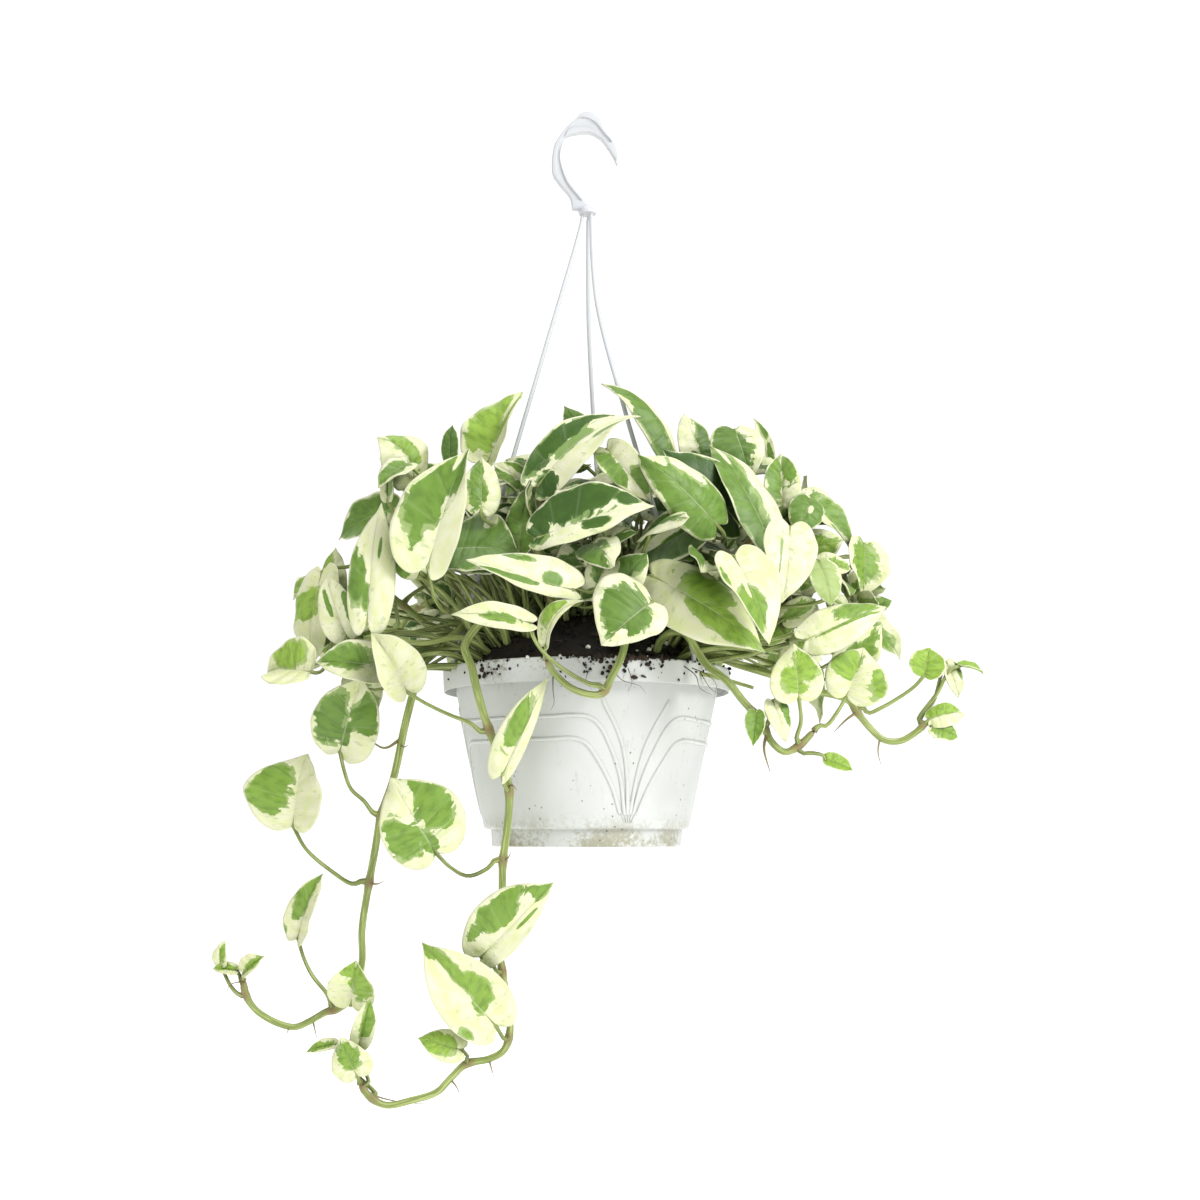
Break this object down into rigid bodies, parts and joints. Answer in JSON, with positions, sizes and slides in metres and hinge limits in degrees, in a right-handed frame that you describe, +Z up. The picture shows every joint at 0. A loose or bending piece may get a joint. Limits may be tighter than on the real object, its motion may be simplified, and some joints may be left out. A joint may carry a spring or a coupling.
{
  "type": "potted hanging plant",
  "caption": "Potted trailing plant with cream and green heart-shaped leaves, in a tapered white pot hung by a hook and strands, with long vines hanging past the pot.",
  "frame": {"origin": "inner crown of the hook, where the rail that carries the pot lies", "axes": "+Z up along the pot's axis, -Y towards the viewer with the two long vines, +X to the viewer's right"},
  "size_m": [0.5039, 0.3384, 0.7054],
  "materials": {
    "pot": "semi-matt white moulded plastic with faint soil marks",
    "hanger": "semi-matt white moulded plastic",
    "soil": "moist dark potting mix, crumbly",
    "stem": "smooth green stem with pale streaks",
    "leaf": "waxy leaf, cream and green in jagged patches"
  },
  "bodies": {
    "root": {"hanger_hook": "hanger", "hanger_strand_back": "hanger", "hanger_strand_left": "hanger", "hanger_strand_right": "hanger", "leaf_centre_1": "leaf", "leaf_centre_2": "leaf", "leaf_centre_3": "leaf", "leaf_centre_4": "leaf", "leaf_centre_5": "leaf", "leaf_centre_6": "leaf", "leaf_centre_7": "leaf", "leaf_front_1": "leaf", "leaf_front_2": "leaf", "leaf_front_3": "leaf", "leaf_front_4": "leaf", "leaf_front_5": "leaf", "leaf_front_6": "leaf", "leaf_front_trail_1": "leaf", "leaf_front_trail_2": "leaf", "leaf_front_trail_3": "leaf", "leaf_front_trail_4": "leaf", "leaf_front_trail_5": "leaf", "leaf_left_1": "leaf", "leaf_left_10": "leaf", "leaf_left_2": "leaf", "leaf_left_3": "leaf", "leaf_left_4": "leaf", "leaf_left_5": "leaf", "leaf_left_6": "leaf", "leaf_left_7": "leaf", "leaf_left_8": "leaf", "leaf_left_9": "leaf", "leaf_left_trail_1": "leaf", "leaf_left_trail_2": "leaf", "leaf_left_trail_3": "leaf", "leaf_left_trail_4": "leaf", "leaf_right_1": "leaf", "leaf_right_2": "leaf", "leaf_right_3": "leaf", "leaf_right_4": "leaf", "leaf_right_5": "leaf", "leaf_right_6": "leaf", "leaf_right_7": "leaf", "pot": "pot", "soil": "soil", "vine_back": "stem", "vine_back_left": "stem", "vine_back_right": "stem", "vine_centre_left": "stem", "vine_centre_right": "stem", "vine_front_loop": "stem", "vine_front_trail": "stem", "vine_left_high": "stem", "vine_left_low": "stem", "vine_left_mid": "stem", "vine_left_trail": "stem", "vine_right_high": "stem", "vine_right_low": "stem", "vine_right_mid": "stem", "vine_right_runner": "stem"}
  },
  "joints": []
}
